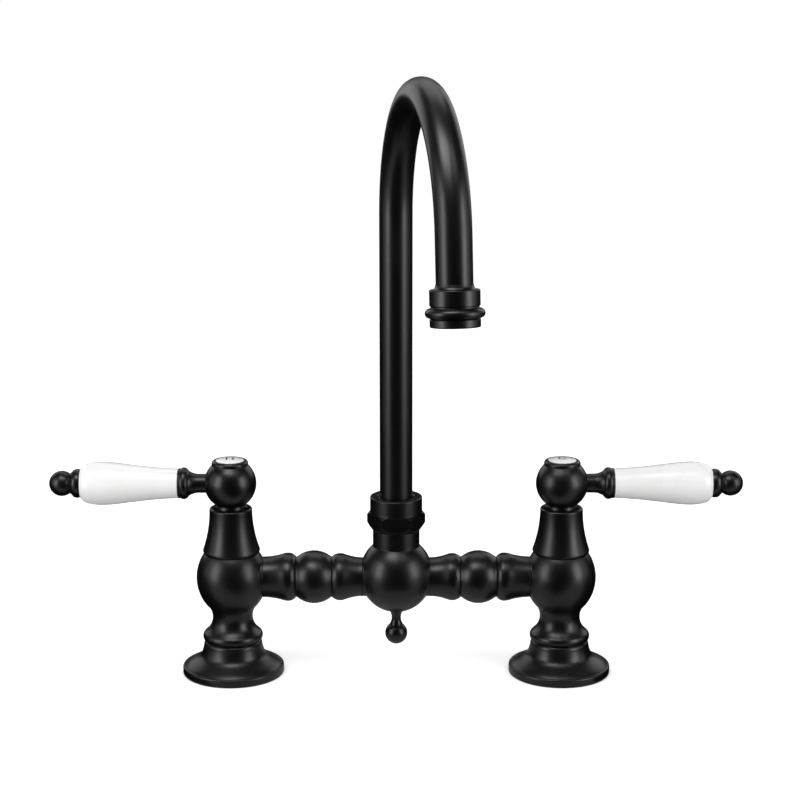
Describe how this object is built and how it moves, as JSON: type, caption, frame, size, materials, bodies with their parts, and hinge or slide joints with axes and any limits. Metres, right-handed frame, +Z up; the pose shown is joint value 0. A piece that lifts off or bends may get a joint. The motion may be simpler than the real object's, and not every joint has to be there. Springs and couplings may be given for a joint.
{
  "type": "bridge kitchen faucet",
  "caption": "Deck-mounted bridge kitchen faucet: turned valve pillars joined by a raised bridge, a swivelling gooseneck spout and quarter-turn porcelain lever handles.",
  "frame": {"origin": "on the deck's top face, midway between the two valve pillars", "axes": "+Z up, +X from the hot pillar to the cold pillar, -Y towards the sink and the user"},
  "size_m": [0.425, 0.2007, 0.4332],
  "materials": {
    "matte_black": "matte black coat on brass",
    "porcelain": "glossy white glaze",
    "letter_enamel": "dark enamel inlay",
    "brass": "machined",
    "stainless": "machined",
    "disc_ceramic": "lapped alumina",
    "rubber": "moulded",
    "plastic": "moulded acetal"
  },
  "bodies": {
    "faucet": {"backnuts": "brass", "centre_body": "matte_black", "clamp_washers": "stainless", "disc_seals": "rubber", "drop_finial": "matte_black", "fixed_discs": "disc_ceramic", "flange_gaskets": "rubber", "left_bonnet": "matte_black", "left_bridge_ball": "matte_black", "left_bridge_tube": "brass", "left_cartridge_body": "brass", "left_flange": "matte_black", "left_inner_collar": "matte_black", "left_outer_collar": "matte_black", "left_shank": "brass", "left_valve_body": "matte_black", "right_bonnet": "matte_black", "right_bridge_ball": "matte_black", "right_bridge_tube": "brass", "right_cartridge_body": "brass", "right_flange": "matte_black", "right_inner_collar": "matte_black", "right_outer_collar": "matte_black", "right_shank": "brass", "right_valve_body": "matte_black", "rubber_washers": "rubber", "spout_guide_bush": "plastic", "spout_nut": "matte_black", "spout_thrust_washer": "plastic", "union_rings": "rubber"},
    "spout": {"spout_tube": "matte_black", "spout_spigot": "brass", "spout_rings": "rubber", "spout_end_collar": "matte_black", "aerator_housing": "matte_black", "aerator_insert": "plastic", "aerator_washer": "rubber"},
    "left_handle": {"left_handle_hub": "matte_black", "left_spindle": "brass", "left_spindle_ring": "rubber", "left_moving_disc": "disc_ceramic", "left_handle_screw": "stainless", "left_index_button": "porcelain", "left_index_letter": "letter_enamel", "left_lever_neck": "matte_black", "left_porcelain_lever": "porcelain", "left_lever_finial": "matte_black", "left_lever_rod": "stainless"},
    "right_handle": {"right_handle_hub": "matte_black", "right_spindle": "brass", "right_spindle_ring": "rubber", "right_moving_disc": "disc_ceramic", "right_handle_screw": "stainless", "right_index_button": "porcelain", "right_index_letter": "letter_enamel", "right_lever_neck": "matte_black", "right_porcelain_lever": "porcelain", "right_lever_finial": "matte_black", "right_lever_rod": "stainless"}
  },
  "joints": [
    {"name": "spout_swivel", "type": "hinge", "parent": "faucet", "child": "spout", "pos_m": [0, 0, 0], "axis": [0, 0, 1], "continuous": true},
    {"name": "left_handle_turn", "type": "hinge", "parent": "faucet", "child": "left_handle", "pos_m": [-0.1016, 0, 0], "axis": [0, 0, 1], "range_deg": [0, 90]},
    {"name": "right_handle_turn", "type": "hinge", "parent": "faucet", "child": "right_handle", "pos_m": [0.1016, 0, 0], "axis": [0, 0, 1], "range_deg": [-90, 0]}
  ]
}
